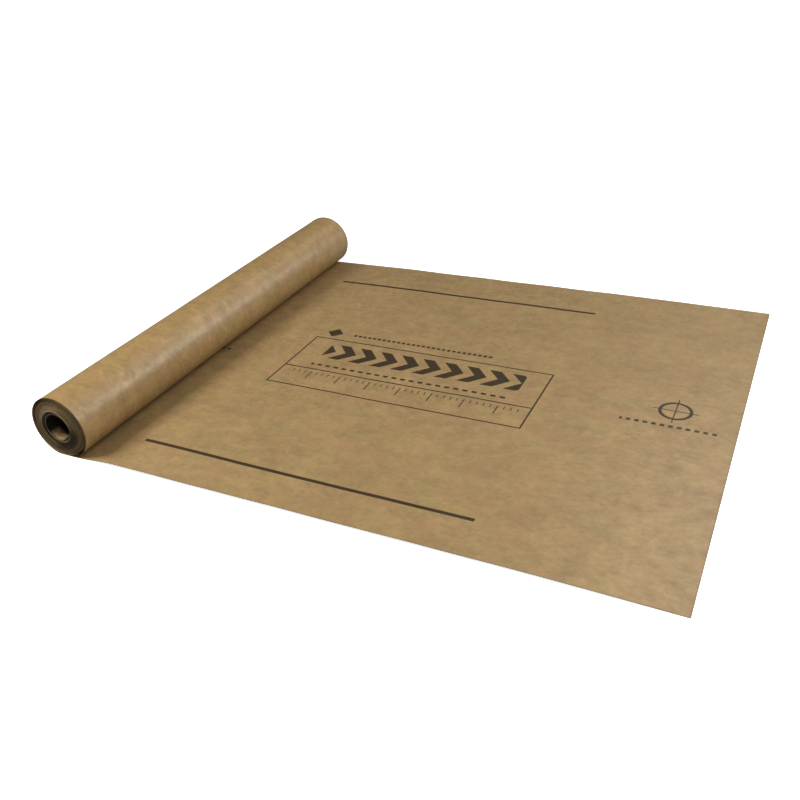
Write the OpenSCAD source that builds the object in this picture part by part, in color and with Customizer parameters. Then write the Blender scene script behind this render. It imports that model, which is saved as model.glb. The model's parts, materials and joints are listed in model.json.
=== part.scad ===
// Roll of vapor barrier paper, part of it laid out flat.
// +X runs along the laid sheet away from the roll, +Y along the roll's axis,
// +Z up. Z is 0 at the floor, and X and Y are 0 in the middle of the floor print.

/* [Paper] */
// Width of the paper, which is the length of the roll
web_w = 914.4; // [300:0.1:1830]
// Thickness of one ply of the paper
paper_t = 0.18; // [0.1:0.01:1]
// Length laid out on the floor, from the roll's axis to the free end
laid_len = 1036; // [400:1:3000]

/* [Wound roll] */
// Diameter of the tightly wound part
wound_d = 106.8; // [90:0.1:300]
// How far the wound part's weight presses into the turns under it
press = 0.1; // [0.05:0.01:0.3]

/* [Loose outer turns] */
// Number of turns that stand off the wound part
loose_turns = 2; // [1:1:4]
// Thickness of each loose turn, with the plies that lie together in it
loose_t = 0.36; // [0.3:0.01:0.5]
// How much larger the outermost turn's radius is than the wound part's
loose_grow = 4.2; // [3.8:0.1:12]
// How far the outermost turn's centre lies towards the laid sheet
loose_lean = 2.6; // [0:0.1:2.8]
// How far the outermost turn would reach under the floor if nothing stopped it
loose_sag = 2.4; // [1:0.1:4]

/* [Core tube] */
// Diameter of the core tube's bore
core_bore_d = 50.8; // [25:0.1:76.2]
// Wall of the core tube
core_wall = 4.8; // [2:0.1:6]
// How far each end of the core tube stands back inside the paper
core_recess = 3; // [0:0.1:10]
// Gap between the core tube and the first turn of paper, all round
core_fit = 0.3; // [0.1:0.05:1]

/* [Hidden] */

$fa = 3;
$fs = 1;

wound_r = wound_d / 2;
core_bore_r = core_bore_d / 2;
core_r = core_bore_r + core_wall;
web_bore_r = core_r + core_fit;
core_len = web_w - 2 * core_recess;

// Plies that the roll's weight presses flat between it and the floor
under_t = loose_turns * loose_t + paper_t;
axis_z = under_t - press + wound_r;

// Outermost turn: a round outline that the floor cuts off at the bottom
outer_r = wound_r + loose_grow;
outer_z = outer_r - loose_sag;
foot_half = sqrt(outer_r * outer_r - outer_z * outer_z);
// The pressed plies end inside the wall of the outermost turn
pressed_half = foot_half - loose_t;

// How far a cutter runs past each face that it cuts
cut_past = 1;

// The axis stands this far from the middle of the whole part's length
axis_x = (outer_r - loose_lean - laid_len) / 2;

// Section of one loose turn: turn 1 is next to the wound part, the last is outermost
module loose_turn(turn) {
    share = turn / loose_turns;
    r = wound_r + share * loose_grow;
    translate([share * loose_lean, axis_z + share * (outer_z - axis_z)])
        difference() {
            circle(r = r);
            circle(r = r - loose_t);
        }
}

// Everything above the floor, as far as any turn reaches
module above_floor() {
    reach = 2 * outer_r;
    translate([-reach, 0])
        square([2 * reach, 2 * reach]);
}

// Section of the whole web, seen along the roll, with its axis at x = 0
module web_section() {
    intersection() {
        for (turn = [1 : loose_turns])
            loose_turn(turn);
        above_floor();
    }
    translate([loose_lean - pressed_half, 0])
        square([2 * pressed_half, under_t]);
    translate([loose_lean, 0])
        square([laid_len - loose_lean, paper_t]);
    translate([0, axis_z])
        circle(r = wound_r);
}

// Turns a section drawn in X and Z into a solid of the given length along Y
module along_roll(length) {
    rotate([90, 0, 0])
        linear_extrude(height = length, center = true)
            children();
}

// The paper: wound turns with their bore, loose outer turns and the laid sheet
module paper_web() {
    color("#a88a62")
        translate([axis_x, 0, 0])
            difference() {
                along_roll(web_w)
                    web_section();
                translate([0, 0, axis_z])
                    rotate([90, 0, 0])
                        cylinder(r = web_bore_r, h = web_w + 2 * cut_past, center = true);
            }
}

// The cardboard tube that the paper is wound on
module core_tube() {
    color("#8f7a60")
        translate([axis_x, 0, axis_z])
            rotate([90, 0, 0])
                difference() {
                    cylinder(r = core_r, h = core_len, center = true);
                    cylinder(r = core_bore_r, h = core_len + 2 * cut_past, center = true);
                }
}

paper_web();
core_tube();
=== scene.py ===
"""Looks of a roll of vapor barrier paper: the wound web, its laid-out sheet and its core tube."""

import json
import logging
import math
import random
from collections.abc import Callable
from dataclasses import dataclass
from enum import Enum
from functools import reduce

import bpy
from mathutils import Matrix, Vector, noise


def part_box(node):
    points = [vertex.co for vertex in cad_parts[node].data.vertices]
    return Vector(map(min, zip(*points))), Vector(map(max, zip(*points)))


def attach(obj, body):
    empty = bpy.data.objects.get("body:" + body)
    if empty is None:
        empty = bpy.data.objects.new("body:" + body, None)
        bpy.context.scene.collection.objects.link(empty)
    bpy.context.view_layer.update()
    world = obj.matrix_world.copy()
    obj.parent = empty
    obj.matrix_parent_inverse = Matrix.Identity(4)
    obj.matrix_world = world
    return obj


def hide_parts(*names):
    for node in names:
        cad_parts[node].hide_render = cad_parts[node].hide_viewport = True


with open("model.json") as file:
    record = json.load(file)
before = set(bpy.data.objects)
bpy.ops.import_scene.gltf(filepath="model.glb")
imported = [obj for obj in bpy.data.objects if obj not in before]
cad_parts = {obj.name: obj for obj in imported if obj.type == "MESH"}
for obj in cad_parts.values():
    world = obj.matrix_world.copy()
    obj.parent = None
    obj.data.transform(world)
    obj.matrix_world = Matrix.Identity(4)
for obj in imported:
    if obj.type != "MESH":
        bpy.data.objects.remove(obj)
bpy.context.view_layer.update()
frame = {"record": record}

MM = 0.001
MOUTH_RAISED = 3.4 * MM
WHITE = (1.0, 1.0, 1.0)
LOG = logging.getLogger("roll")

Span = tuple[float, float]
Triple = tuple[float, float, float]
Colour = Triple
Socket = bpy.types.NodeSocket
Value = float | Triple | Vector | Socket
Inputs = dict[str | int, Value]
Tree = bpy.types.NodeTree
Node = bpy.types.Node
Material = bpy.types.Material
Piece = bpy.types.Object


# ---- Choices ----


class Face(Enum):
    """The surfaces of the paper, the first three in the order of the loose web's slots."""

    OUTSIDE = 0
    PRINTED = 1
    CUT_EDGE = 2
    BORE = 3


class Edge(Enum):
    """What a mark on the turns' cut edges is measured from."""

    BORE = "bore"
    RIM = "rim"


class Sum(Enum):
    """Math node operations, by what they do here."""

    ADD = "ADD"
    SUBTRACT = "SUBTRACT"
    TIMES = "MULTIPLY"
    DIVIDE = "DIVIDE"
    ABSOLUTE = "ABSOLUTE"
    FRACTION = "FRACT"
    LEAST = "MINIMUM"
    MOST = "MAXIMUM"
    ROOT = "SQRT"
    ANGLE = "ARCTAN2"
    COSINE = "COSINE"
    WRAP = "WRAP"


# ---- Sizes, from the frame ----


@dataclass(frozen=True)
class RollSizes:
    """Sizes and places of the roll in metres.

    Args:
        axis_x: Place of the roll's axis along X.
        axis_z: Height of the roll's axis.
        half_width: Half of the paper's width.
        wound_r: Radius of the tightly wound part.
        outer_r: Radius of the outermost turn.
        outer_lean: How far the outermost turn's centre lies towards the laid sheet.
        outer_z: Height of the outermost turn's centre.
        bore_r: Radius of the paper's own bore.
        core_r: Outside radius of the core tube.
        core_bore_r: Radius of the core tube's bore.
        core_half: Half of the core tube's length.
        free_end: Place of the laid sheet's free end along X.
        ply: Thickness of one ply of paper.
    """

    axis_x: float
    axis_z: float
    half_width: float
    wound_r: float
    outer_r: float
    outer_lean: float
    outer_z: float
    bore_r: float
    core_r: float
    core_bore_r: float
    core_half: float
    free_end: float
    ply: float = 0.18 * MM

    @classmethod
    def from_frame(cls) -> "RollSizes":
        """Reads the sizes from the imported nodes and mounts.

        Returns:
            The sizes of this roll.
        """
        web_low, web_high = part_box("paper_web")
        core_low, core_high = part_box("core_tube")
        mounts = {mount["name"]: mount for mount in frame["record"]["mounts"]}
        outer_lean = 2.6 * MM
        loose_growth = 4.2 * MM
        core_fit = 0.3 * MM
        axis_x = (core_low.x + core_high.x) / 2
        core_r = (core_high.z - core_low.z) / 2
        outer_r = axis_x + outer_lean - web_low.x
        return cls(
            axis_x=axis_x,
            axis_z=(core_low.z + core_high.z) / 2,
            half_width=(web_high.y - web_low.y) / 2,
            wound_r=outer_r - loose_growth,
            outer_r=outer_r,
            outer_lean=outer_lean,
            outer_z=web_high.z - outer_r,
            bore_r=core_r + core_fit,
            core_r=core_r,
            core_bore_r=mounts["core_bore"]["dims"]["r_mm"] * MM,
            core_half=(core_high.y - core_low.y) / 2,
            free_end=web_high.x,
        )

    @property
    def laid_length(self) -> float:
        """Length of the sheet from the roll's axis to its free end."""
        return self.free_end - self.axis_x

    def from_axis(self, place: Vector) -> Vector:
        """The way from the roll's axis to a place, in the roll's section."""
        return Vector((place.x - self.axis_x, 0, place.z - self.axis_z))


# ---- Modelling helpers ----


def deselect_all() -> None:
    """Leaves edit mode if it is on and deselects every object."""
    if bpy.context.object and bpy.context.object.mode != "OBJECT":
        bpy.ops.object.mode_set(mode="OBJECT")
    bpy.ops.object.select_all(action="DESELECT")


def select_only(piece: Piece) -> None:
    """Selects one object alone and makes it the active one.

    Args:
        piece: The object.
    """
    deselect_all()
    bpy.context.view_layer.objects.active = piece
    piece.select_set(True)


def smooth_step(low: float, high: float, value: float) -> float:
    """Eases from 0 at low to 1 at high."""
    share = min(max((value - low) / (high - low), 0.0), 1.0)
    return share * share * (3.0 - 2.0 * share)


def soft_least(first: float, second: float, width: float) -> float:
    """The smaller of two lengths, rounded off over a width where they cross."""
    gap = first - second
    return (first + second - math.sqrt(gap * gap + width * width)) / 2


def spread(middle: float, width: float) -> Span:
    """The two sides of a width that lies about a middle."""
    return middle - width / 2, middle + width / 2


def start_at_vertex(name: str, place: Vector) -> Piece:
    """Adds an object that is one vertex, in edit mode and selected, ready to be extruded.

    Args:
        name: The object's name.
        place: Where the vertex is.

    Returns:
        The new object.
    """
    deselect_all()
    bpy.ops.mesh.primitive_plane_add(size=2 * MM, location=(0, 0, 0))
    piece = bpy.context.object
    piece.name = name
    piece.data.name = name
    bpy.ops.object.mode_set(mode="EDIT")
    bpy.ops.mesh.select_mode(type="VERT")
    bpy.ops.mesh.select_all(action="SELECT")
    bpy.ops.mesh.merge(type="CENTER")
    bpy.ops.transform.translate(value=place)
    return piece


def extrude_along(places: list[Vector]) -> None:
    """Extrudes what is selected at the first of a row of places through all the others.

    Args:
        places: The places, in order.
    """
    for here, place in zip(places, places[1:]):
        bpy.ops.mesh.extrude_region_move(TRANSFORM_OT_translate={"value": place - here})


def turn_on_lathe(name: str, profile: list[Vector], sizes: RollSizes, steps: int) -> Piece:
    """Spins a closed profile a full turn about the roll's axis.

    Args:
        name: The piece's name.
        profile: Its section above the axis, from a place back to the same place.
        sizes: The roll's sizes.
        steps: How many faces go round.

    Returns:
        The closed solid, in object mode.
    """
    piece = start_at_vertex(name, profile[0])
    extrude_along(profile)
    bpy.ops.mesh.select_all(action="SELECT")
    centre = (sizes.axis_x, 0, sizes.axis_z)
    bpy.ops.mesh.spin(steps=steps, angle=math.tau, center=centre, axis=(0, 1, 0))
    bpy.ops.mesh.select_all(action="SELECT")
    touching = 0.005 * MM
    bpy.ops.mesh.remove_doubles(threshold=touching)
    bpy.ops.mesh.normals_make_consistent(inside=False)
    bpy.ops.object.mode_set(mode="OBJECT")
    return piece


def shade_smooth(piece: Piece, degrees: float) -> None:
    """Shades a piece smooth, apart from edges that turn more than so many degrees."""
    select_only(piece)
    bpy.ops.object.shade_smooth_by_angle(angle=math.radians(degrees))


def move_points(piece: Piece, shift: Callable[[Vector], Vector]) -> None:
    """Moves each vertex of a piece by what a function says.

    Args:
        piece: The object to reshape.
        shift: A function from a vertex's place to its move.
    """
    for vertex in piece.data.vertices:
        vertex.co += shift(vertex.co)
    piece.data.update()


def fray(place: Vector, fineness: float, run: float, depth: float) -> Vector:
    """A ragged cut across the roll's axis.

    Args:
        place: A vertex's place.
        fineness: Frays to the metre round and across the cut.
        run: The same along the axis.
        depth: How deep they are.

    Returns:
        The vertex's move.
    """
    ragged = noise.noise(Vector((place.x * fineness, place.y * run, place.z * fineness)))
    return Vector((0, depth * ragged, 0))


def hand_over(piece: Piece, node: str) -> None:
    """Puts a finished piece in the frame in place of its plain node.

    Args:
        piece: The finished object.
        node: The node that it stands for.
    """
    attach(piece, "root")
    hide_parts(node)
    LOG.info("%s: %d faces", piece.name, len(piece.data.polygons))


# ---- Node helpers ----


@dataclass(frozen=True)
class Ramp:
    """An eased step from one value to another.

    Args:
        low: Where it starts.
        high: Where it ends, which may be less than low.
        to: The result at high.
        start: The result at low.
    """

    low: float
    high: float
    to: float = 1.0
    start: float = 0.0


@dataclass(frozen=True)
class Grain:
    """One noise, whose value lies about 0.5.

    Args:
        scale: Patches to the metre.
        detail: How many finer layers it has.
        roughness: How strong the finer layers are.
        drawn: Its scale along X, below 1 for long patches.
        shift: What is added to the place where it is read.
    """

    scale: float
    detail: float
    roughness: float
    drawn: float = 1.0
    shift: Triple = (0.0, 0.0, 0.0)


class Wiring:
    """Adds and joins nodes in one node tree."""

    def __init__(self, tree: Tree) -> None:
        """Takes the tree of a group, a material or the sky."""
        self.tree = tree

    def feed(self, node: Node, inputs: Inputs) -> None:
        """Joins a node's inputs to outputs, or gives them constants.

        Args:
            node: The node.
            inputs: What each input gets, by its name or number.
        """
        for name, value in inputs.items():
            socket = node.inputs[name]
            if isinstance(value, Socket):
                self.tree.links.new(value, socket)
            elif isinstance(value, tuple) and len(value) < len(socket.default_value):
                socket.default_value = (*value, 1.0)
            else:
                socket.default_value = value

    def node(self, kind: str, inputs: Inputs | None = None, **settings: object) -> Node:
        """Adds one node.

        Args:
            kind: The node's type, without its ShaderNode prefix.
            inputs: What its inputs get.
            settings: Properties to set on it before that.

        Returns:
            The new node.
        """
        made = self.tree.nodes.new("ShaderNode" + kind)
        for name, value in settings.items():
            setattr(made, name, value)
        self.feed(made, inputs or {})
        return made

    def math(self, operation: Sum, *values: Value) -> Socket:
        """Works values out with a Math node."""
        return self.node("Math", dict(enumerate(values)), operation=operation.value).outputs[0]

    def total(self, *values: Value) -> Socket:
        """Adds up any number of values."""
        return reduce(lambda one, other: self.math(Sum.ADD, one, other), values)

    def times(self, *values: Value) -> Socket:
        """Multiplies any number of values."""
        return reduce(lambda one, other: self.math(Sum.TIMES, one, other), values)

    def most(self, *values: Value) -> Socket:
        """Takes the greatest of any number of values."""
        return reduce(lambda one, other: self.math(Sum.MOST, one, other), values)

    def less(self, value: Value, taken: Value) -> Socket:
        """Takes the second value from the first."""
        return self.math(Sum.SUBTRACT, value, taken)

    def weighted(self, *pairs: tuple[Value, float]) -> Socket:
        """Adds up values, each times its weight."""
        return self.total(*(self.times(value, weight) for value, weight in pairs))

    def away(self, value: Value, middle: float) -> Socket:
        """How far a value lies from a middle."""
        return self.math(Sum.ABSOLUTE, self.less(value, middle))

    def reach(self, x: Value, y: Value) -> Socket:
        """The length of a way with these two sides."""
        return self.math(Sum.ROOT, self.total(self.times(x, x), self.times(y, y)))

    def facing(self, angle: Value, degrees: float) -> Socket:
        """A value that is 1 at one place round the axis and -1 across from it."""
        return self.math(Sum.COSINE, self.less(angle, math.radians(degrees)))

    def span(self, value: Value, ramp: Ramp) -> Socket:
        """Maps a value over a ramp, clamped and eased."""
        inputs = {"Value": value, "From Min": ramp.low, "From Max": ramp.high,
                  "To Min": ramp.start, "To Max": ramp.to}
        return self.node("MapRange", inputs, interpolation_type="SMOOTHSTEP").outputs["Result"]

    def drawn(self, vector: Value, scale: float, shift: Triple = (0.0, 0.0, 0.0)) -> Socket:
        """Scales a vector along X and then shifts it."""
        inputs = {"Vector": vector, "Scale": (scale, 1.0, 1.0), "Location": shift}
        return self.node("Mapping", inputs, vector_type="POINT").outputs["Vector"]

    def noise(self, vector: Value, grain: Grain) -> Socket:
        """Reads a noise at a vector."""
        inputs = {"Vector": self.drawn(vector, grain.drawn, grain.shift), "Scale": grain.scale,
                  "Detail": grain.detail, "Roughness": grain.roughness}
        return self.node("TexNoise", inputs, noise_dimensions="3D").outputs["Fac"]

    def mix(self, share: Value, first: Value, second: Value) -> Socket:
        """Lays a share of the second colour over the first."""
        return self.node("Mix", {0: share, 6: first, 7: second}, data_type="RGBA").outputs[2]

    def parts(self, vector: Value) -> list[Socket]:
        """Splits a vector into its X, Y and Z."""
        return list(self.node("SeparateXYZ", {0: vector}).outputs)

    def joined(self, x: Value, y: Value, z: Value) -> Socket:
        """Makes a vector of its X, Y and Z."""
        return self.node("CombineXYZ", {0: x, 1: y, 2: z}).outputs[0]

    def effect(self, group: Tree, vector: Value) -> bpy.types.NodeOutputs:
        """Reads an effect's node group at a vector, and gives its outputs."""
        return self.node("Group", {"Vector": vector}, node_tree=group).outputs

    def bump(
        self, height: Value, distance: float, strength: float, under: Socket | None = None
    ) -> Socket:
        """Adds a relief.

        Args:
            height: The relief.
            distance: How high it is, in metres.
            strength: How strongly it shows.
            under: The normal of a coarser relief that it lies on.

        Returns:
            The bent normal.
        """
        inputs = {"Height": height, "Distance": distance, "Strength": strength}
        if under is not None:
            inputs["Normal"] = under
        return self.node("Bump", inputs).outputs["Normal"]


class Coat(Wiring):
    """Wiring of a new material with one Principled shader."""

    def __init__(self, name: str) -> None:
        """Starts the material.

        Args:
            name: The material's name.
        """
        self.material = bpy.data.materials.new(name)
        self.material.use_nodes = True
        self.material.node_tree.nodes.clear()
        super().__init__(self.material.node_tree)
        self.shader = self.node("BsdfPrincipled")
        self.node("OutputMaterial", {"Surface": self.shader.outputs["BSDF"]})

    def finish(self, inputs: Inputs) -> Material:
        """Feeds the shader and gives the material."""
        self.feed(self.shader, inputs)
        return self.material


def new_group(name: str, outputs: tuple[str, ...]) -> tuple[Wiring, Socket, Node]:
    """Starts a shader node group that reads one vector.

    Args:
        name: The group's name.
        outputs: The names of the values that it puts out.

    Returns:
        Its wiring, the vector that it reads, and its output node.
    """
    tree = bpy.data.node_groups.new(name, "ShaderNodeTree")
    tree.interface.new_socket("Vector", in_out="INPUT", socket_type="NodeSocketVector")
    for output in outputs:
        tree.interface.new_socket(output, in_out="OUTPUT", socket_type="NodeSocketFloat")
    source = tree.nodes.new("NodeGroupInput")
    return Wiring(tree), source.outputs["Vector"], tree.nodes.new("NodeGroupOutput")


# ---- Effects that more than one finish uses ----


@dataclass(frozen=True)
class PaperFibre:
    """Paper fibre, read in metres with X along the fibres.

    Args:
        cloud: Clouds of pulp.
        blotch: Larger blotches.
        streak: Long streaks.
        tooth: The fine tooth that the hand feels.
        cockle: Shallow dents of dried paper.
        cells: Cells to the metre that may hold a fleck of bark.
        cell_drawn: The cells' scale along the fibres.
        spot: How a fleck fades with the distance from its cell's middle.
        rare: Which cells hold one, by their own chance value.
    """

    cloud: Grain = Grain(120.0, 3.0, 0.6, 0.85)
    blotch: Grain = Grain(44.0, 2.0, 0.55, 0.8, (2.2, 8.3, 0.0))
    streak: Grain = Grain(300.0, 2.0, 0.6, 0.40, (3.1, 1.7, 0.0))
    tooth: Grain = Grain(1100.0, 2.0, 0.6, 0.45, (0.4, 5.2, 0.0))
    cockle: Grain = Grain(60.0, 1.0, 0.5, 0.8, (7.7, 0.6, 0.0))
    cells: float = 190.0
    cell_drawn: float = 0.4
    spot: Ramp = Ramp(0.16, 0.05)
    rare: Ramp = Ramp(0.80, 0.97)

    def build(self) -> Tree:
        """Makes the group.

        Returns:
            The group, with one output for each kind of grain and one for the flecks.
        """
        grains = {
            "Cloud": self.cloud, "Blotch": self.blotch, "Streak": self.streak,
            "Tooth": self.tooth, "Cockle": self.cockle,
        }
        wiring, place, sink = new_group("paper_fibre", (*grains, "Fleck"))
        for name, grain in grains.items():
            wiring.feed(sink, {name: wiring.noise(place, grain)})
        inputs = {"Vector": wiring.drawn(place, self.cell_drawn), "Scale": self.cells}
        cells = wiring.node("TexVoronoi", inputs, feature="F1", distance="EUCLIDEAN").outputs
        spot = wiring.span(cells["Distance"], self.spot)
        rare = wiring.span(wiring.parts(cells["Color"])[0], self.rare)
        wiring.feed(sink, {"Fleck": wiring.times(spot, rare)})
        return wiring.tree


@dataclass(frozen=True)
class TurnRings:
    """Rings about the roll's axis: radius, angle, tone from turn to turn, and scuffs.

    Args:
        sizes: The roll's sizes.
        band: Tone of bands of turns.
        fine: Tone of single turns.
        scuff: Scuffs that break the rings up.
        twist: How much of the angle goes into the tones, so that no ring is quite even.
    """

    sizes: RollSizes
    band: Grain = Grain(520.0, 3.0, 0.6)
    fine: Grain = Grain(4200.0, 1.0, 0.5)
    scuff: Grain = Grain(150.0, 4.0, 0.6)
    twist: float = 0.0016

    def build(self) -> Tree:
        """Makes the group.

        Returns:
            The group, which reads Object coordinates.
        """
        outputs = ("Radius", "Round", "Band", "Fine", "Scuff")
        wiring, place, sink = new_group("turn_rings", outputs)
        x, y, z = wiring.parts(place)
        across = wiring.less(x, self.sizes.axis_x)
        up = wiring.less(z, self.sizes.axis_z)
        radius = wiring.reach(across, up)
        angle = wiring.math(Sum.ANGLE, up, across)
        turn = wiring.joined(radius, wiring.times(angle, self.twist), y)
        wiring.feed(sink, {
            "Radius": radius, "Round": angle, "Band": wiring.noise(turn, self.band),
            "Fine": wiring.noise(turn, self.fine), "Scuff": wiring.noise(place, self.scuff),
        })
        return wiring.tree


# ---- Print on the laid sheet ----


@dataclass(frozen=True)
class Strokes:
    """Strokes at a pitch that fill a bar.

    Args:
        pitch: From one stroke to the next.
        share: How much of the pitch is ink.
        along: Start and end of the bar.
        across: Its two sides.
        back: How far the strokes are moved back.
        slant: How far they lean back for each length from the bar's middle.
    """

    pitch: float
    share: float
    along: Span
    across: Span
    back: float = 0.0
    slant: float = 0.0


@dataclass
class Print:
    """Ink on the paper: lap lines, a framed band of chevrons over a ruler, and two small marks.

    Lengths run along the web from the roll's axis, and across it from the middle, in metres.

    Args:
        wiring: Wiring of the printed material.
        u: Length along the web.
        v: Place across the web.
        bleed: How far the ink's edges fade.
        repeat: Length of web after which the print comes again.
        near_lap: Start and end of the near lap line.
        near_lap_at: Its place across.
        far_lap: Start and end of the far lap line.
        far_lap_at: Its place across.
        lap_width: Width of both.
        panel: Start and end of the framed panel.
        panel_sides: Its sides.
        divider: Place across of the rule over its foot.
        rule: Width of its rules.
        chevrons: The bold chevrons in it.
        dashes: The dashes under them.
        ticks: The ruler's ticks in its foot.
        fifth_ticks: The longer tick at every fifth place.
        head_dashes: The small dashes over the panel.
        diamond: Place along and across of the diamond beside them.
        diamond_edge: How that fades from its middle outwards.
        mark: Place along and across of the ring mark.
        mark_radius: Radius of its ring.
        ring_edge: How the ring fades on both sides of that.
        arm: How far its cross stands out of the ring.
        arm_width: Width of the cross's arms.
        mark_bars: The tone bars under it.
    """

    wiring: Wiring
    u: Socket
    v: Socket
    bleed: float = 0.35 * MM
    repeat: float = 0.960
    near_lap: Span = (0.110, 0.719)
    near_lap_at: float = -0.3778
    far_lap: Span = (0.101, 0.706)
    far_lap_at: float = 0.3470
    lap_width: float = 0.0070
    panel: Span = (0.192, 0.702)
    panel_sides: Span = (-0.125, 0.071)
    divider: float = -0.056
    rule: float = 0.0030
    chevrons: Strokes = Strokes(0.046, 0.52, (0.244, 0.658), (-0.008, 0.050), slant=0.9)
    dashes: Strokes = Strokes(0.0180, 0.55, (0.242, 0.652), (-0.0405, -0.0345))
    ticks: Strokes = Strokes(0.0127, 0.15, (0.212, 0.682), (-0.076, -0.066))
    fifth_ticks: Strokes = Strokes(0.0635, 0.035, (0.212, 0.682), (-0.094, -0.066), back=0.0254)
    head_dashes: Strokes = Strokes(0.0110, 0.62, (0.264, 0.570), (0.0935, 0.1005))
    diamond: Span = (0.222, 0.097)
    diamond_edge: Ramp = Ramp(0.0185, 0.0175)
    mark: Span = (0.930, 0.018)
    mark_radius: float = 0.026
    ring_edge: Ramp = Ramp(0.0032, 0.0024)
    arm: float = 0.012
    arm_width: float = 0.0022
    mark_bars: Strokes = Strokes(0.014, 0.55, (0.846, 1.014), (-0.036, -0.029))

    def __post_init__(self) -> None:
        """Brings each length along the web back to the first print."""
        start = self.far_lap[0] / 2
        self.u = self.wiring.math(Sum.WRAP, self.u, self.repeat + start, start)

    def bar(self, along: Span, across: Span) -> Socket:
        """A plain printed bar with soft sides.

        Args:
            along: Start and end along the web.
            across: Its two sides.

        Returns:
            A mask that is 1 on the bar.
        """
        inside = []
        for place, (low, high) in ((self.u, along), (self.v, across)):
            half = (high - low) / 2
            away = self.wiring.away(place, (low + high) / 2)
            inside.append(self.wiring.span(away, Ramp(half + self.bleed, half - self.bleed)))
        return self.wiring.times(*inside)

    def row(self, strokes: Strokes) -> Socket:
        """A bar filled with strokes.

        Args:
            strokes: The strokes.

        Returns:
            A mask that is 1 on them.
        """
        wiring = self.wiring
        lean = wiring.times(wiring.away(self.v, sum(strokes.across) / 2), strokes.slant)
        along = wiring.total(self.u, strokes.back, lean)
        saw = wiring.math(Sum.FRACTION, wiring.math(Sum.DIVIDE, along, strokes.pitch))
        half, edge = strokes.share / 2, self.bleed / strokes.pitch
        inked = wiring.span(wiring.away(saw, 0.5), Ramp(half + edge, half - edge))
        return wiring.times(inked, self.bar(strokes.along, strokes.across))

    def bars(self) -> list[Socket]:
        """The lap lines, the panel's rules and the arms of the mark's cross.

        Returns:
            Their masks.
        """
        (left, right), (low, high) = self.panel, self.panel_sides
        arms = 2 * (self.mark_radius + self.arm)
        return [self.bar(along, across) for along, across in (
            (self.near_lap, spread(self.near_lap_at, self.lap_width)),
            (self.far_lap, spread(self.far_lap_at, self.lap_width)),
            (self.panel, (low, low + self.rule)),
            (self.panel, spread(self.divider, self.rule)),
            (self.panel, (high - self.rule, high)),
            ((left, left + self.rule), self.panel_sides),
            ((right - self.rule, right), self.panel_sides),
            (spread(self.mark[0], arms), spread(self.mark[1], self.arm_width)),
            (spread(self.mark[0], self.arm_width), spread(self.mark[1], arms)),
        )]

    def marks(self) -> list[Socket]:
        """The solid diamond and the mark's ring.

        Returns:
            Their masks.
        """
        wiring = self.wiring
        (diamond_u, diamond_v), (mark_u, mark_v) = self.diamond, self.mark
        corner = wiring.total(wiring.away(self.u, diamond_u), wiring.away(self.v, diamond_v))
        middle = wiring.reach(wiring.less(self.u, mark_u), wiring.less(self.v, mark_v))
        return [
            wiring.span(corner, self.diamond_edge),
            wiring.span(wiring.away(middle, self.mark_radius), self.ring_edge),
        ]

    def ink(self) -> Socket:
        """All the ink on the web.

        Returns:
            A mask that is 1 where there is ink.
        """
        rows = [self.row(strokes) for strokes in (
            self.chevrons, self.dashes, self.ticks,
            self.fifth_ticks, self.head_dashes, self.mark_bars,
        )]
        return self.wiring.most(*self.bars(), *rows, *self.marks())


# ---- Finishes ----


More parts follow.
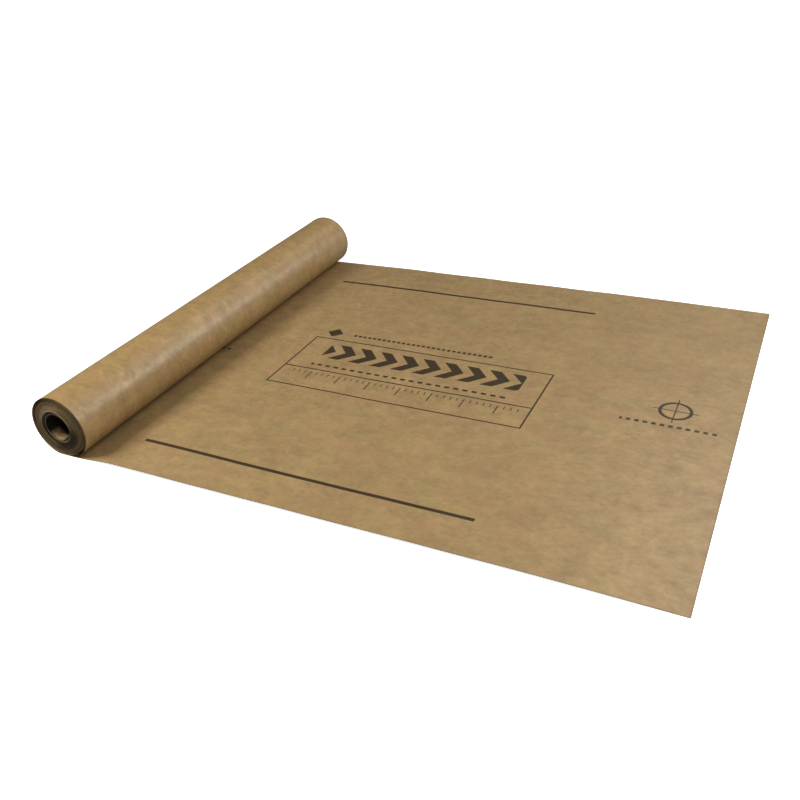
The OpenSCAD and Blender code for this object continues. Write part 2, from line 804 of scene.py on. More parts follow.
@dataclass(frozen=True)
class KraftFinish:
    """Brown kraft paper with a faint calendered sheen.

    Args:
        name: The material's name.
        light: Colour where the pulp is thin.
        dark: Colour where it is thick.
        warm: Colour of its reddish patches.
        olive: Colour of its greenish patches.
        bark: Colour of its flecks.
        bond: Colour that the bonding layer leaves along the cut edges.
        ink: Colour of the print, or None on the unprinted side.
        roughness: Its middling roughness.
        specular: How strongly it shines.
        patches: Its largest patches of tone.
        clouded: Weight of the clouds in its tone.
        streaked: Weight of the streaks.
        blotched: Weight of the blotches.
        patched: Weight of the patches.
        flecked: How strongly its flecks show.
        blushes: Where it is reddish or greenish.
        thick: How the tone goes from light to dark.
        reddish: How far the blushes redden it.
        greenish: How far they turn it green.
        bled: How the bonding layer fades away from a cut edge.
        missed: Where the tooth keeps ink off.
    """

    name: str
    light: Colour = (0.433, 0.300, 0.137)
    dark: Colour = (0.294, 0.201, 0.091)
    warm: Colour = (0.392, 0.246, 0.116)
    olive: Colour = (0.360, 0.270, 0.110)
    bark: Colour = (0.150, 0.090, 0.042)
    bond: Colour = (0.120, 0.098, 0.062)
    ink: Colour | None = None
    roughness: float = 0.44
    specular: float = 0.8
    patches: Grain = Grain(11.0, 2.0, 0.5)
    clouded: float = 0.43
    streaked: float = 0.27
    blotched: float = 0.54
    patched: float = 0.34
    flecked: float = 0.55
    blushes: Grain = Grain(20.0, 3.0, 0.55, shift=(9.0, 2.0, 0.0))
    thick: Ramp = Ramp(0.53, 1.05)
    reddish: Ramp = Ramp(0.46, 0.66, 0.42)
    greenish: Ramp = Ramp(0.50, 0.32, 0.42)
    bled: Ramp = Ramp(2.0 * MM, 0.4 * MM, 0.62)
    missed: Ramp = Ramp(0.62, 0.80, 0.55)

    def build(self, sizes: RollSizes, fibre: Tree) -> Material:
        """Makes the material, which reads the piece's web map.

        Args:
            sizes: The roll's sizes.
            fibre: The paper fibre group.

        Returns:
            The material.
        """
        coat = Coat(self.name)
        web = coat.node("UVMap", uv_map="web").outputs["UV"]
        u, v, _ = coat.parts(web)
        grain = coat.effect(fibre, web)
        tone = coat.weighted(
            (grain["Cloud"], self.clouded), (grain["Streak"], self.streaked),
            (grain["Blotch"], self.blotched), (coat.noise(web, self.patches), self.patched),
        )
        colour = coat.mix(coat.span(tone, self.thick), self.light, self.dark)
        blush = coat.noise(web, self.blushes)
        colour = coat.mix(coat.span(blush, self.reddish), colour, self.warm)
        colour = coat.mix(coat.span(blush, self.greenish), colour, self.olive)
        colour = coat.mix(coat.times(grain["Fleck"], self.flecked), colour, self.bark)
        from_side = coat.less(sizes.half_width, coat.math(Sum.ABSOLUTE, v))
        margin = coat.math(Sum.LEAST, from_side, coat.less(sizes.laid_length, u))
        colour = coat.mix(coat.span(margin, self.bled), colour, self.bond)
        by_cloud, by_blotch = 0.34, 0.26
        smoothest = self.roughness - (by_cloud + by_blotch) / 2
        rough = coat.total(
            smoothest,
            coat.times(grain["Cloud"], by_cloud),
            coat.times(grain["Blotch"], by_blotch),
        )
        if self.ink is not None:
            most_ink, ink_rough = 0.94, 0.06
            cover = coat.less(most_ink, coat.span(grain["Tooth"], self.missed))
            inked = coat.times(Print(coat, u, v).ink(), cover)
            colour = coat.mix(inked, colour, self.ink)
            rough = coat.total(rough, coat.times(inked, ink_rough))
        cockle = coat.bump(grain["Cockle"], distance=0.40 * MM, strength=0.8)
        relief = coat.weighted((grain["Streak"], 0.5), (grain["Tooth"], 0.5))
        return coat.finish({
            "Base Color": colour, "Roughness": rough, "Specular IOR Level": self.specular,
            "Normal": coat.bump(relief, distance=0.06 * MM, strength=0.6, under=cockle),
        })


@dataclass(frozen=True)
class Mark:
    """A patch of light or shade painted on the turns' cut edges.

    Args:
        colour: Its colour.
        at: Where round the axis it lies, in degrees.
        around: How it fades with the cosine of the angle from there.
        outwards: How it fades outwards.
        edge: What that is measured from.
    """

    colour: Colour
    at: float
    around: Ramp
    outwards: Ramp
    edge: Edge = Edge.BORE


@dataclass(frozen=True)
class CutEdgeFinish:
    """Cut edges of the plies, kraft with a dark bonding layer between, and painted light and
    shade round the axis.

    Args:
        name: The material's name.
        kraft: Colour of the plies' edges.
        bond: Colour of the bonding layer.
        painted_light_top_left: Painted light on the inner turns towards the top left, where the
            light falls on them.
        painted_shade_low: Painted shade low on the inner turns, towards the bottom right.
        rim: The shade along the outermost turns.
        lip: Lighter edges of the innermost turns, with painted light strongest towards the top
            left.
        ply_tone: How the rings go from bonding layer to ply.
        lifted: How the mouth's lift fades with the distance from the bore.
        near_end: How that lift comes in at the near end.
        scuffed: Where scuffs bare the kraft.
        rough: How rough it is, by its scuffs.
    """

    name: str = "cut_ply_edges"
    kraft: Colour = (0.200, 0.142, 0.070)
    bond: Colour = (0.078, 0.053, 0.028)
    # Painted light: the inner turns are lightened towards the top left, where the light falls.
    painted_light_top_left: Mark = Mark((0.300, 0.222, 0.120), 122, Ramp(0.30, 0.90, 0.36), Ramp(14 * MM, 8 * MM))
    # Painted shade: the inner turns are darkened low towards the bottom right, where shade falls
    # under the core.
    painted_shade_low: Mark = Mark(
        (0.030, 0.020, 0.011), 307, Ramp(0.35, 0.85, 0.88), Ramp(17 * MM, 5 * MM)
    )
    rim: Mark = Mark(
        (0.030, 0.020, 0.011), 122, Ramp(0.30, 0.85, 0.55), Ramp(-2.5 * MM, -0.5 * MM), Edge.RIM
    )
    # Painted light: the innermost turns' edges are lightened, most towards the top left.
    lip: Mark = Mark(
        (0.330, 0.262, 0.172), 122, Ramp(-0.50, 0.50, 0.85, 0.15), Ramp(2.6 * MM, 0.9 * MM)
    )
    ply_tone: Ramp = Ramp(0.36, 0.62)
    lifted: Ramp = Ramp(12 * MM, 1 * MM)
    near_end: Ramp = Ramp(0.0, -1 * MM, MOUTH_RAISED)
    scuffed: Ramp = Ramp(0.55, 0.75, 0.5)
    rough: Ramp = Ramp(0.3, 0.7, 0.9, 0.74)

    def build(self, sizes: RollSizes, rings: Tree) -> Material:
        """Makes the material, which follows the turns about the roll's axis.

        Args:
            sizes: The roll's sizes.
            rings: The ring group.

        Returns:
            The material.
        """
        coat = Coat(self.name)
        place = coat.node("TexCoord").outputs["Object"]
        x, y, z = coat.parts(place)
        from_bore = coat.less(coat.effect(rings, place)["Radius"], sizes.bore_r)
        raised = coat.times(coat.span(from_bore, self.lifted), coat.span(y, self.near_end))
        ring = coat.effect(rings, coat.joined(x, y, coat.less(z, raised)))
        tone = coat.weighted((ring["Band"], 0.65), (ring["Fine"], 0.35))
        colour = coat.mix(coat.span(tone, self.ply_tone), self.bond, self.kraft)
        outwards = {
            Edge.BORE: coat.less(ring["Radius"], sizes.bore_r),
            Edge.RIM: coat.less(ring["Radius"], sizes.wound_r),
        }
        # Paints the marks over the plies: painted light at the top left, painted shade low at the
        # bottom right and along the rim.
        for mark in (self.painted_light_top_left, self.painted_shade_low, self.rim, self.lip):
            shown = coat.times(
                coat.span(coat.facing(ring["Round"], mark.at), mark.around),
                coat.span(outwards[mark.edge], mark.outwards),
            )
            colour = coat.mix(shown, colour, mark.colour)
        colour = coat.mix(coat.span(ring["Scuff"], self.scuffed), colour, self.kraft)
        relief = coat.weighted((ring["Fine"], 0.6), (ring["Band"], 0.4))
        return coat.finish({
            "Base Color": colour, "Roughness": coat.span(ring["Scuff"], self.rough),
            "Specular IOR Level": 0.3,
            "Normal": coat.bump(relief, distance=0.05 * MM, strength=0.7),
        })


@dataclass(frozen=True)
class ChipboardFinish:
    """Grey-brown chipboard wound on a slant, with the seam of its plies.

    Args:
        name: The material's name.
        light: Colour of the board.
        dark: Colour of its darker pulp.
        seam: Colour in the seam between two plies.
        deep: Painted shade over the rest of the bore, away from the painted lit patch.
        sawn: Colour of the sawn ends, darkened as painted shade.
        sawn_painted_light: Colour of the sawn ends where painted light falls on them, towards the
            bottom.
        sawn_painted_light_at: Where round the axis that is, in degrees.
        sawn_light_fade: How it fades with the cosine of the angle from there.
        seam_pitch: Length along the tube from one seam to the next.
        seam_edge: How a seam fades, in shares of that.
        seam_shown: How strongly its colour shows.
        seam_depth: How deep it is, in heights of the board's tooth.
        flecked: How strongly the board's flecks show.
        painted_light_at: Where round the bore the painted lit patch lies, where light falls in
            through the mouth, in degrees.
        wear_and_painted_light: How that painted lit patch fades with the cosine of the angle from
            there.
        painted_light_depth: How it fades with the depth in the bore.
        shaded: How much of the painted lit patch shows at the very mouth, where painted shade
            darkens it.
        end: How the sawn end begins, outwards from the bore.
        pulp: How the clouds go from light to dark.
        rough: Its roughness, by its streaks.
    """

    name: str = "core_chipboard"
    light: Colour = (0.495, 0.370, 0.180)
    dark: Colour = (0.352, 0.252, 0.118)
    seam: Colour = (0.120, 0.080, 0.045)
    deep: Colour = (0.024, 0.015, 0.006)
    sawn: Colour = (0.145, 0.108, 0.066)
    sawn_painted_light: Colour = (0.290, 0.222, 0.145)
    sawn_painted_light_at: float = -80
    sawn_light_fade: Ramp = Ramp(-0.10, 0.80)
    seam_pitch: float = 0.094
    seam_edge: Ramp = Ramp(0.009, 0.003)
    seam_shown: float = 0.8
    seam_depth: float = 1.5
    flecked: float = 0.6
    painted_light_at: float = -117
    wear_and_painted_light: Ramp = Ramp(0.76, 0.97)
    painted_light_depth: Ramp = Ramp(22.5 * MM, 10.5 * MM)
    shaded: Ramp = Ramp(-3.0 * MM, 1.0 * MM, 1.0, 0.35)
    end: Ramp = Ramp(0.2 * MM, 0.6 * MM)
    pulp: Ramp = Ramp(0.35, 0.65)
    rough: Ramp = Ramp(0.3, 0.7, 0.82, 0.66)

    def build(self, sizes: RollSizes, fibre: Tree, rings: Tree) -> Material:
        """Makes the material.

        Args:
            sizes: The roll's sizes.
            fibre: The paper fibre group.
            rings: The ring group.

        Returns:
            The material.
        """
        coat = Coat(self.name)
        place = coat.node("TexCoord").outputs["Object"]
        ring = coat.effect(rings, place)
        grain = coat.effect(fibre, place)
        _, y, _ = coat.parts(place)
        colour = coat.mix(coat.span(grain["Cloud"], self.pulp), self.light, self.dark)
        depth = coat.less(sizes.core_half, coat.math(Sum.ABSOLUTE, y))
        # Painted light and shade in the bore: a painted lit patch low near the mouth, painted
        # shade over the rest of the bore.
        wear_and_painted_light = coat.times(
            coat.span(depth, self.painted_light_depth),
            coat.span(coat.facing(ring["Round"], self.painted_light_at), self.wear_and_painted_light),
            coat.span(depth, self.shaded),
        )
        colour = coat.mix(coat.less(1.0, wear_and_painted_light), colour, self.deep)
        # Painted light and shade on the sawn ends: dark all round, lighter towards the bottom
        # where light falls.
        sawn_light_fade = coat.span(coat.facing(ring["Round"], self.sawn_painted_light_at), self.sawn_light_fade)
        ends = coat.mix(sawn_light_fade, self.sawn, self.sawn_painted_light)
        on_end = coat.span(coat.less(ring["Radius"], sizes.core_bore_r), self.end)
        colour = coat.mix(on_end, colour, ends)
        colour = coat.mix(coat.times(grain["Fleck"], self.flecked), colour, self.seam)
        wound = coat.total(
            coat.math(Sum.DIVIDE, y, self.seam_pitch),
            coat.math(Sum.DIVIDE, ring["Round"], math.tau),
        )
        seam = coat.span(coat.away(coat.math(Sum.FRACTION, wound), 0.5), self.seam_edge)
        colour = coat.mix(coat.times(seam, self.seam_shown), colour, self.seam)
        relief = coat.less(grain["Tooth"], coat.times(seam, self.seam_depth))
        return coat.finish({
            "Base Color": colour, "Roughness": coat.span(grain["Streak"], self.rough),
            "Specular IOR Level": 0.35,
            "Normal": coat.bump(relief, distance=0.12 * MM, strength=0.6),
        })


# ---- Pieces ----


@dataclass
class WoundTurns:
    """The tightly wound part of the web, turned from a profile with one step for each turn.

    Args:
        sizes: The roll's sizes.
        turns: How many turns show on each end.
        steps: How many faces go round.
        flat: Share of a turn's pitch that is its flat edge.
        crown: How far the innermost turns stand out beyond the outermost.
        set_back: How far the outermost turns stand back from the web's edge.
        raised: How far the innermost turns' edges are pushed up at the near mouth.
        raised_over: How far out from the bore that fades.
        mouth: How deep in the bore its wall's first row of faces ends.
        wander: How far a turn strays sideways from its neighbours.
        carried: Share of a turn's stray that the next turn takes over.
        seed: Seed of the strays.
        dented: Depth of the dents in the turns' edges.
        map_start: Where the web map starts, clear of the print.
    """

    sizes: RollSizes
    turns: int = 120
    steps: int = 96
    flat: float = 0.86
    crown: float = 5.2 * MM
    set_back: float = 2.0 * MM
    raised: float = MOUTH_RAISED
    raised_over: float = 10 * MM
    mouth: float = 0.6 * MM
    wander: float = 0.09 * MM
    carried: float = 0.80
    seed: int = 11
    dented: float = 0.14 * MM
    map_start: float = -1.0

    def sideways(self) -> list[float]:
        """How far each turn strays towards the near end, from the bore outwards.

        Returns:
            One shift for each turn.
        """
        dice = random.Random(self.seed)
        shifts = []
        drift = 0.0
        for _ in range(self.turns):
            drift = self.carried * drift + dice.uniform(-1.0, 1.0) * self.wander
            shifts.append(drift)
        return shifts

    def profile(self) -> list[Vector]:
        """The section above the axis, as a closed row of places.

        Returns:
            The places, from the near end's bore edge and back to it.
        """
        sizes = self.sizes
        depth = sizes.wound_r - sizes.bore_r
        pitch = depth / self.turns
        near, far = [], []
        for turn, drift in enumerate(self.sideways()):
            inner = sizes.bore_r + turn * pitch
            for radius in (inner, inner + self.flat * pitch):
                out = (sizes.wound_r - radius) / depth
                shift = self.crown * out ** 2 - self.set_back + drift
                height = sizes.axis_z + radius
                near.append(Vector((sizes.axis_x, -sizes.half_width - shift, height)))
                far.append(Vector((sizes.axis_x, sizes.half_width - shift, height)))
        wall = Vector((sizes.axis_x, -sizes.half_width + self.mouth, sizes.axis_z + sizes.bore_r))
        return near + far[::-1] + [wall, near[0]]

    def dent(self, place: Vector) -> Vector:
        """Small dents and frays of the turns' edges, and the lift of the innermost ones.

        Args:
            place: A vertex's place.

        Returns:
            Its move.
        """
        sizes = self.sizes
        move = fray(place, fineness=130, run=3, depth=self.dented)
        end_depth = 0.5 * MM
        if place.y < -sizes.half_width + end_depth:
            fade = smooth_step(
                sizes.bore_r + self.raised_over, sizes.bore_r, sizes.from_axis(place).length
            )
            move.z += self.raised * fade
        return move

    def kind_of(self, face: bpy.types.MeshPolygon) -> Face:
        """Tells the barrel, the bore and the cut edges apart, before the turns are dented.

        Args:
            face: A face of the piece.

        Returns:
            Its kind.
        """
        radius = self.sizes.from_axis(face.center).length
        touching = 0.1 * MM
        along_axis = abs(face.normal.y) < 0.5
        if along_axis and radius < self.sizes.bore_r + touching:
            return Face.BORE
        if along_axis and radius > self.sizes.wound_r - touching:
            return Face.OUTSIDE
        return Face.CUT_EDGE

    def wrap_web_map(self, piece: Piece) -> None:
        """Gives the piece a web map: length round the axis, and place across the web.

        Args:
            piece: The object.
        """
        layer = piece.data.uv_layers.new(name="web")
        for face in piece.data.polygons:
            centre = self.sizes.from_axis(face.center)
            middle = math.atan2(centre.z, centre.x)
            for corner in face.loop_indices:
                place = piece.data.vertices[piece.data.loops[corner].vertex_index].co
                way = self.sizes.from_axis(place)
                angle = math.atan2(way.z, way.x)
                angle += math.tau * round((middle - angle) / math.tau)
                layer.data[corner].uv = (self.map_start - angle * self.sizes.wound_r, place.y)

    def build(self, finishes: dict[Face, Material]) -> None:
        """Models and dresses the piece.

        Args:
            finishes: The finish of each kind of face.
        """
        piece = turn_on_lathe("wound_turns", self.profile(), self.sizes, self.steps)
        kinds = (Face.OUTSIDE, Face.CUT_EDGE, Face.BORE)
        for kind in kinds:
            piece.data.materials.append(finishes[kind])
        for face in piece.data.polygons:
            face.material_index = kinds.index(self.kind_of(face))
        move_points(piece, self.dent)
        self.wrap_web_map(piece)
        shade_smooth(piece, degrees=25)
        hand_over(piece, "paper_web")


@dataclass(frozen=True)
class Swell:
    """A smooth unevenness of a surface.

    Args:
        first: Swells to the unit along the surface's first direction.
        second: The same along its second direction.
        layer: Which of its many patterns is taken.
        height: How high it is.
    """

    first: float
    second: float
    layer: float
    height: float

    def at(self, first: float, second: float) -> float:
        """Its height at a place, above or below 0."""
        place = Vector((first * self.first, second * self.second, self.layer))
        return self.height * noise.noise(place)


@dataclass
class LooseWeb:
    """The rest of the web: the loose outer turns and the sheet laid out from under them.

    Args:
        sizes: The roll's sizes.
        turns: How many turns stand off the wound part.
        per_turn: Rows of faces to a turn.
        columns: Faces across the web.
        sheet_rows: Rows of faces on the laid sheet.
        levels: Share of the slack that each turn takes, from the outermost in.
        pressed: Share of a turn, each side of the floor, in which one level becomes the next.
        floor_rounding: How softly the floor cuts the turns off.
        comes_down: Share of the laid length over which the sheet leaves the roll.
        lift_near: Height of the laid sheet's near side.
        lift_far: Height of its far side.
        rises: Shares of the laid length where the near side starts and ends its rise.
        rises_later: How much later the far side ends it.
        falls: Share of the laid length where the sheet starts to come down to its end.
        edge_curl: How far the near edge curls up above that.
        curl_from: Where across the web that curl starts.
        bulge: Extra height of the curl close to the roll's near end.
        bulge_at: Place of that, from the axis and across.
        bulge_size: Its size along and across.
        waves: The sheet's wide and small waves, over metres.
        dents: The loose turns' wide and small dents, over the angle and the place across.
        dents_fade: Height over which the dents come in above the floor.
    """

    sizes: RollSizes
    turns: int = 3
    per_turn: int = 90
    columns: int = 60
    sheet_rows: int = 76
    levels: tuple[float, ...] = (1.0, 0.46, 0.17, 0.0)
    pressed: float = 0.17
    floor_rounding: float = 0.5 * MM
    comes_down: float = 0.1
    lift_near: float = 4.0 * MM
    lift_far: float = 2.5 * MM
    rises: Span = (0.018, 0.10)
    rises_later: float = 0.12
    falls: float = 0.70
    edge_curl: float = 0.9 * MM
    curl_from: float = -0.37
    bulge: float = 3.4 * MM
    bulge_at: Span = (0.150, -0.335)
    bulge_size: Span = (0.105, 0.078)
    waves: tuple[Swell, ...] = (
        Swell(4.0, 5.5, 0.3, 0.32 * MM), Swell(11.0, 13.0, 4.7, 0.64 * MM),
    )
    dents: tuple[Swell, ...] = (
        Swell(1.6, 9.0, 7.1, 0.22 * MM), Swell(4.0, 26.0, 2.9, 0.088 * MM),
    )
    dents_fade: Span = (6 * MM, 26 * MM)

    def outline(self, angle: float) -> float:
        """Distance from the wound part's centre to the outermost turn.

        Args:
            angle: Clockwise from straight down, seen from the near end.

        Returns:
            The distance, cut off softly by the floor.
        """
        sizes = self.sizes
        way = Vector((-math.sin(angle), -math.cos(angle)))
        centre = Vector((sizes.outer_lean, sizes.outer_z - sizes.axis_z))
        along = way.dot(centre)
        reach = along + math.sqrt(sizes.outer_r ** 2 - centre.length_squared + along * along)
        down, clear_of_floor = math.cos(angle), 0.2
        if down > clear_of_floor:
            reach = soft_least(reach, sizes.axis_z / down, self.floor_rounding)
        return reach

    def slack_share(self, turns_in: float) -> float:
        """Share of the slack outside the wound part that lies inside this place on the web.

        Args:
            turns_in: Turns from the place where the sheet leaves the roll.

        Returns:
            The share, which steps down where the turns are pressed together at the floor.
        """
        nearest = round(turns_in)
        if nearest == 0 or nearest > self.turns:
            return self.levels[int(min(turns_in, self.turns))]
        step = smooth_step(-self.pressed, self.pressed, turns_in - nearest)
        return self.levels[nearest - 1] * (1 - step) + self.levels[nearest] * step

    def wound_place(self, turns_in: float) -> Vector:
        """A place on the outer side of the loose turns.

        Args:
            turns_in: Turns from the place where the sheet leaves the roll.

        Returns:
            The place in the roll's section, at the near end.
        """
        sizes = self.sizes
        angle = math.tau * turns_in
        plies = sizes.ply * (self.turns - turns_in)
        slack = max(self.outline(angle) - sizes.wound_r - self.turns * sizes.ply, 0.0)
        radius = sizes.wound_r + plies + slack * self.slack_share(turns_in)
        return Vector((
            sizes.axis_x - radius * math.sin(angle),
            -sizes.half_width,
            sizes.axis_z - radius * math.cos(angle),
        ))

    def laid_place(self, share: float) -> Vector:
        """A place on the underside of the laid sheet.

        Args:
            share: From 0 under the roll's axis to 1 at the free end.

        Returns:
            The place at the near edge.
        """
        sizes = self.sizes
        height = self.wound_place(0.0).z * (1 - smooth_step(0.0, self.comes_down, share))
        return Vector((sizes.axis_x + share * sizes.laid_length, -sizes.half_width, height))

    def path(self) -> list[Vector]:
        """The web's section, from the free end to where the loose turns join the wound part.

        Returns:
            The places, one for each row.
        """
        laid = [self.laid_place(1 - row / self.sheet_rows) for row in range(self.sheet_rows)]
        count = self.turns * self.per_turn
        return laid + [self.wound_place(row / self.per_turn) for row in range(count + 1)]

    def ripple(self, place: Vector) -> Vector:
        """Lift, curls and faint waves of the laid sheet.

        Args:
            place: A place on the sheet as it lies flat.

        Returns:
            Its move.
        """
        sizes = self.sizes
        from_axis = place.x - sizes.axis_x
        share = from_axis / sizes.laid_length
        across = place.y / (2 * sizes.half_width) + 0.5
        lift = self.lift_near + (self.lift_far - self.lift_near) * across
        lift += self.edge_curl * smooth_step(self.curl_from, -sizes.half_width, place.y)
        (near, side), (long, wide) = self.bulge_at, self.bulge_size
        away = ((from_axis - near) / long) ** 2 + ((place.y - side) / wide) ** 2
        lift += self.bulge * math.exp(-away / 2)
        lift += sum(wave.at(place.x, place.y) for wave in self.waves)
        droop = 1.5
        fall = 1 - max((share - self.falls) / (1 - self.falls), 0.0) ** droop
        rise = smooth_step(self.rises[0], self.rises[1] + self.rises_later * across, share)
        return Vector((0, 0, lift * fall * rise))

    def press_in(self, place: Vector) -> Vector:
        """Faint dents of the loose turns.

        Args:
            place: A place on the turns as they are wound.

        Returns:
            Its move.
        """
        way = self.sizes.from_axis(place)
        push = sum(dent.at(math.atan2(way.z, way.x), place.y) for dent in self.dents)
        push *= smooth_step(*self.dents_fade, place.z)
        return way * (push / way.length)

    def build(self, finishes: dict[Face, Material]) -> None:
        """Models and dresses the piece.

        Args:
            finishes: The material of each surface.
        """
        places = self.path()
        piece = start_at_vertex("loose_turns_and_sheet", places[0])
        width = (0, 2 * self.sizes.half_width, 0)
        bpy.ops.mesh.extrude_region_move(TRANSFORM_OT_translate={"value": width})
        bpy.ops.mesh.select_all(action="SELECT")
        bpy.ops.mesh.subdivide(number_cuts=self.columns - 1)
        bpy.ops.mesh.select_mode(type="EDGE")
        extrude_along(places)
        bpy.ops.object.mode_set(mode="OBJECT")
        lengths = self.lay_web_map(piece, places)
        for vertex, along in zip(piece.data.vertices, lengths):
            vertex.co += self.ripple(vertex.co) if along > 0 else self.press_in(vertex.co)
        self.give_thickness(piece, finishes)
        shade_smooth(piece, degrees=40)
        hand_over(piece, "paper_web")

    def lay_web_map(self, piece: Piece, places: list[Vector]) -> list[float]:
        """Maps the web flat: length from the roll's axis, and place across.

        Args:
            piece: The sheet, with no thickness yet.
            places: The web's section.

        Returns:
            The length along the web of each vertex.
        """
        lengths = [self.sizes.laid_length]
        for before, after in zip(places, places[1:]):
            lengths.append(lengths[-1] - (after - before).length)

        def key(place: Vector) -> tuple[int, int]:
            """A place in the section, to the micrometre."""
            micrometres = 1e6
            return round(place.x * micrometres), round(place.z * micrometres)

        rows = {}
        for place, length in zip(places, lengths):
            rows.setdefault(key(place), length)
        along = [rows[key(vertex.co)] for vertex in piece.data.vertices]
        layer = piece.data.uv_layers.new(name="web")
        for loop in piece.data.loops:
            vertex = piece.data.vertices[loop.vertex_index]
            layer.data[loop.index].uv = (along[loop.vertex_index], vertex.co.y)
        return along

    def give_thickness(self, piece: Piece, finishes: dict[Face, Material]) -> None:
        """Gives the web its ply's thickness, from its outer side inwards.

        Args:
            piece: The sheet with no thickness.
            finishes: The material of each surface.
        """
        for kind in (Face.OUTSIDE, Face.PRINTED, Face.CUT_EDGE):
            piece.data.materials.append(finishes[kind])
        select_only(piece)
        solidify = piece.modifiers.new("ply", "SOLIDIFY")
        solidify.thickness = self.sizes.ply
        solidify.offset = -1
        solidify.material_offset = Face.PRINTED.value
        solidify.material_offset_rim = Face.CUT_EDGE.value
        bpy.ops.object.modifier_apply(modifier=solidify.name)


@dataclass
class CoreTube:
    """The chipboard tube, turned from a profile with its plies stepped at the ends.

    Args:
        sizes: The roll's sizes.
        plies: How many plies show on each end.
        flat: Where a ply's flat edge starts and ends, in shares of its thickness.
        reach: How far the near end stands out of the tube's nominal length.
        peeled: How far the outer plies stand back at the near end, from the outermost in.
        stray: How far a ply's cut may stand back.
        wear_and_painted_light: How much further the first and last ply's cut stands back.
        seed: Seed of the strays.
        ragged: Depth of the saw's marks.
        steps: How many faces go round.
    """

    sizes: RollSizes
    plies: int = 7
    flat: Span = (0.06, 0.94)
    reach: float = 3.0 * MM
    peeled: tuple[float, ...] = (3.0 * MM, 1.4 * MM)
    stray: float = 0.35 * MM
    wear_and_painted_light: float = 0.25 * MM
    seed: int = 5
    ragged: float = 0.12 * MM
    steps: int = 96

    def profile(self) -> list[Vector]:
        """The section above the axis, as a closed row of places.

        Returns:
            The places, from the near end's bore edge and back to it.
        """
        sizes = self.sizes
        dice = random.Random(self.seed)
        pitch = (sizes.core_r - sizes.core_bore_r) / self.plies
        near, far = [], []
        for ply in range(self.plies):
            back = dice.uniform(0.0, self.stray)
            if ply in (0, self.plies - 1):
                back += self.wear_and_painted_light
            from_outside = self.plies - 1 - ply
            front = back - self.reach
            if from_outside < len(self.peeled):
                front += self.peeled[from_outside]
            for share in self.flat:
                height = sizes.axis_z + sizes.core_bore_r + (ply + share) * pitch
                near.append(Vector((sizes.axis_x, -sizes.core_half + front, height)))
                far.append(Vector((sizes.axis_x, sizes.core_half - back, height)))
        return near + far[::-1] + [near[0]]

    def build(self, chipboard: Material) -> None:
        """Models and dresses the piece.

        Args:
            chipboard: Its finish.
        """
        piece = turn_on_lathe("core_tube_wound", self.profile(), self.sizes, self.steps)
        move_points(piece, lambda place: fray(place, fineness=260, run=2, depth=self.ragged))
        piece.data.materials.append(chipboard)
        shade_smooth(piece, degrees=30)
        hand_over(piece, "core_tube")


# ---- Studio ----


@dataclass(frozen=True)
class SoftLight:
    """A square soft light that points at a place.

    Args:
        name: The light's name.
        place: Where it hangs.
        aim: What it points at.
        size: Its width and height.
        power: Its power in watts.
    """

    name: str
    place: Triple
    aim: Triple
    size: float
    power: float

    def hang(self) -> None:
        """Adds the light to the scene."""
        data = bpy.data.lights.new(self.name, "AREA")
        data.shape = "RECTANGLE"
        data.size = data.size_y = self.size
        data.energy = self.power
        light = bpy.data.objects.new(self.name, data)
        turn = (Vector(self.aim) - Vector(self.place)).to_track_quat("-Z", "Y")
        light.matrix_world = Matrix.Translation(self.place) @ turn.to_matrix().to_4x4()
        bpy.context.collection.objects.link(light)


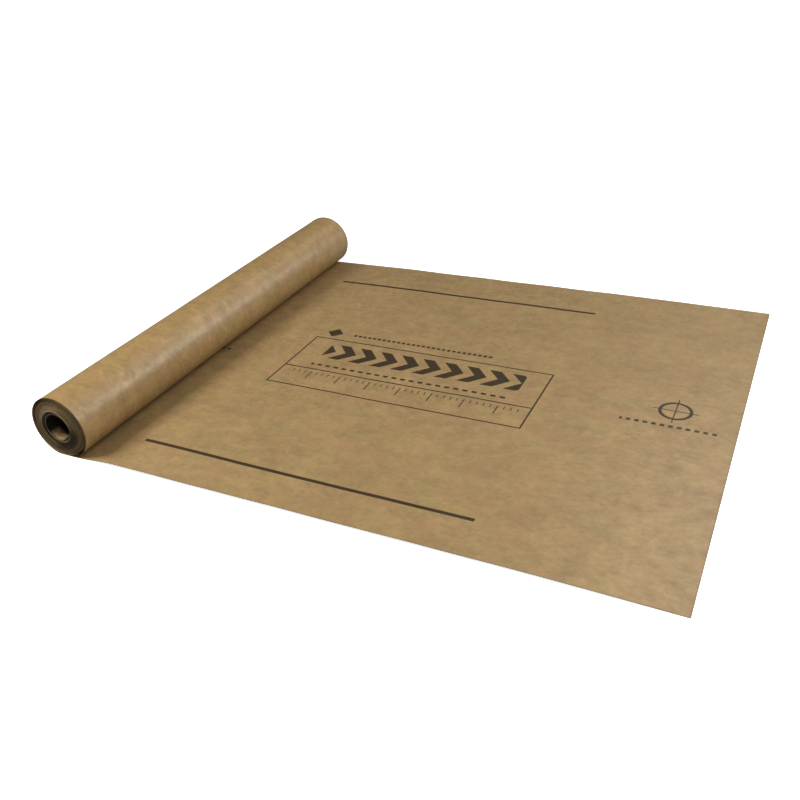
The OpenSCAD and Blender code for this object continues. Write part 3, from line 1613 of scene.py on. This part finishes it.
@dataclass(frozen=True)
class Studio:
    """Pale floor, soft lights and the camera.

    Args:
        sizes: The roll's sizes.
        floor_size: Width and depth of the floor.
        floor_drop: How far it lies under the sheet.
        floor_tone: The two greys that it is mottled with.
        floor_grain: Its mottling.
        glow: Its glow towards the camera, by the distance from its middle.
        sky: Strength of the soft sky.
        azimuth: The camera's way round the roll, in degrees.
        elevation: Its height above the horizon, in degrees.
        roll: How far it leans, in degrees.
        distance: From the camera to what it looks at.
        aim: What that is, along from the roll's axis and across.
        lens: Focal length over the sensor's width.
        nearest: The nearest that it sees.
        gamma: Display gamma, below 1 for deeper shade.
    """

    sizes: RollSizes
    floor_size: float = 24.0
    floor_drop: float = 0.2 * MM
    floor_tone: tuple[Colour, Colour] = ((0.54, 0.54, 0.54), (0.56, 0.56, 0.56))
    floor_grain: Grain = Grain(3.0, 2.0, 0.5)
    glow: Ramp = Ramp(0.6, 1.8, 1.0, 0.8)
    sky: float = 0.174
    azimuth: float = 27.86
    elevation: float = 30.78
    roll: float = -4.44
    distance: float = 1.570
    aim: Span = (0.4662, -0.1014)
    lens: float = 1.08325
    nearest: float = 0.01
    gamma: float = 0.80

    def build_floor(self) -> None:
        """Adds the pale floor just under the sheet."""
        deselect_all()
        bpy.ops.mesh.primitive_plane_add(size=self.floor_size, location=(0, 0, -self.floor_drop))
        floor = bpy.context.object
        floor.name = "floor"
        coat = Coat("pale_floor")
        place = coat.node("TexCoord").outputs["Object"]
        x, y, _ = coat.parts(place)
        seen = coat.node("LightPath").outputs["Is Camera Ray"]
        floor.data.materials.append(coat.finish({
            "Base Color": coat.mix(coat.noise(place, self.floor_grain), *self.floor_tone),
            "Roughness": 0.9,
            "Emission Color": WHITE,
            "Emission Strength": coat.times(coat.span(coat.reach(x, y), self.glow), seen),
        }))

    def build_camera(self) -> None:
        """Adds the camera and makes it the scene's."""
        azimuth, elevation, roll = map(math.radians, (self.azimuth, self.elevation, self.roll))
        back = Vector((
            math.sin(azimuth) * math.cos(elevation),
            -math.cos(azimuth) * math.cos(elevation),
            math.sin(elevation),
        ))
        aim = Vector((self.sizes.axis_x + self.aim[0], self.aim[1], 0))
        level_right = (-back).cross(Vector((0, 0, 1))).normalized()
        level_up = level_right.cross(-back)
        right = level_right * math.cos(roll) + level_up * math.sin(roll)
        up = level_up * math.cos(roll) - level_right * math.sin(roll)
        data = bpy.data.cameras.new("camera")
        data.lens = data.sensor_width * self.lens
        data.clip_start = self.nearest
        camera = bpy.data.objects.new("camera", data)
        turn = Matrix((right, up, back)).transposed().to_4x4()
        camera.matrix_world = Matrix.Translation(aim + back * self.distance) @ turn
        bpy.context.collection.objects.link(camera)
        bpy.context.scene.camera = camera

    def build_lights(self) -> None:
        """Hangs the lights and sets the soft sky."""
        for light in (
            SoftLight("key", (-0.95, -1.142, 1.59), (-0.49, -0.25, 0.05), 0.25, 7.0),
            SoftLight("left_high", (-1.4, -1.0, 1.6), (-0.4, -0.2, 0.0), 0.8, 29.3),
            SoftLight("over_sheet", (0.9, -0.4, 1.6), (0.3, 0.0, 0.0), 0.8, 9.0),
            SoftLight("front_right", (0.9, -1.4, 1.4), (0.2, 0.0, 0.0), 0.8, 7.7),
            SoftLight("mouth", (0.14, -1.2, 1.8), (-0.45, -0.35, 0.05), 0.3, 1.0),
            SoftLight("sheen", (1.45, 1.45, 1.5), (-0.3, -0.1, 0.0), 1.2, 9.5),
            SoftLight("back_right", (1.7, 2.0, 1.0), (-0.3, -0.1, 0.0), 0.8, 16.8),
            SoftLight("right_high", (2.3, 1.3, 1.4), (-0.3, -0.1, 0.0), 0.8, 12.9),
            SoftLight("back_high", (0.5, 2.2, 2.4), (0.0, 0.0, 0.0), 1.2, 12.8),
        ):
            light.hang()
        world = bpy.data.worlds.new("sky")
        world.use_nodes = True
        wiring = Wiring(world.node_tree)
        seen = wiring.node("LightPath").outputs["Is Camera Ray"]
        strength = wiring.most(seen, self.sky)
        wiring.feed(world.node_tree.nodes["Background"], {"Color": WHITE, "Strength": strength})
        bpy.context.scene.world = world
        bpy.context.scene.view_settings.view_transform = "Standard"
        bpy.context.scene.view_settings.gamma = self.gamma

    def build(self) -> None:
        """Builds the floor, the camera and the lights."""
        self.build_floor()
        self.build_camera()
        self.build_lights()


def main() -> None:
    """Builds every piece in order, then the studio."""
    logging.basicConfig(level=logging.INFO, format="%(name)s: %(message)s")
    sizes = RollSizes.from_frame()
    fibre = PaperFibre().build()
    rings = TurnRings(sizes).build()
    outside = KraftFinish("kraft_outside")
    printed = KraftFinish(
        "kraft_printed", light=(0.415, 0.294, 0.146), dark=(0.282, 0.198, 0.097),
        warm=(0.374, 0.242, 0.123), olive=(0.345, 0.266, 0.118), ink=(0.038, 0.0225, 0.006),
    )
    # Painted shade: the paper's bore wall gets a very dark kraft, for the shade inside the bore.
    bore = KraftFinish(
        "kraft_bore_painted_shade", light=(0.060, 0.041, 0.020), dark=(0.034, 0.023, 0.012),
        warm=(0.050, 0.032, 0.016), olive=(0.046, 0.036, 0.016), bark=(0.020, 0.012, 0.006),
    )
    finishes = {
        Face.OUTSIDE: outside.build(sizes, fibre),
        Face.PRINTED: printed.build(sizes, fibre),
        Face.CUT_EDGE: CutEdgeFinish().build(sizes, rings),
        Face.BORE: bore.build(sizes, fibre),
    }
    WoundTurns(sizes).build(finishes)
    LooseWeb(sizes).build(finishes)
    CoreTube(sizes).build(ChipboardFinish().build(sizes, fibre, rings))
    Studio(sizes).build()


if __name__ == "__main__":
    main()
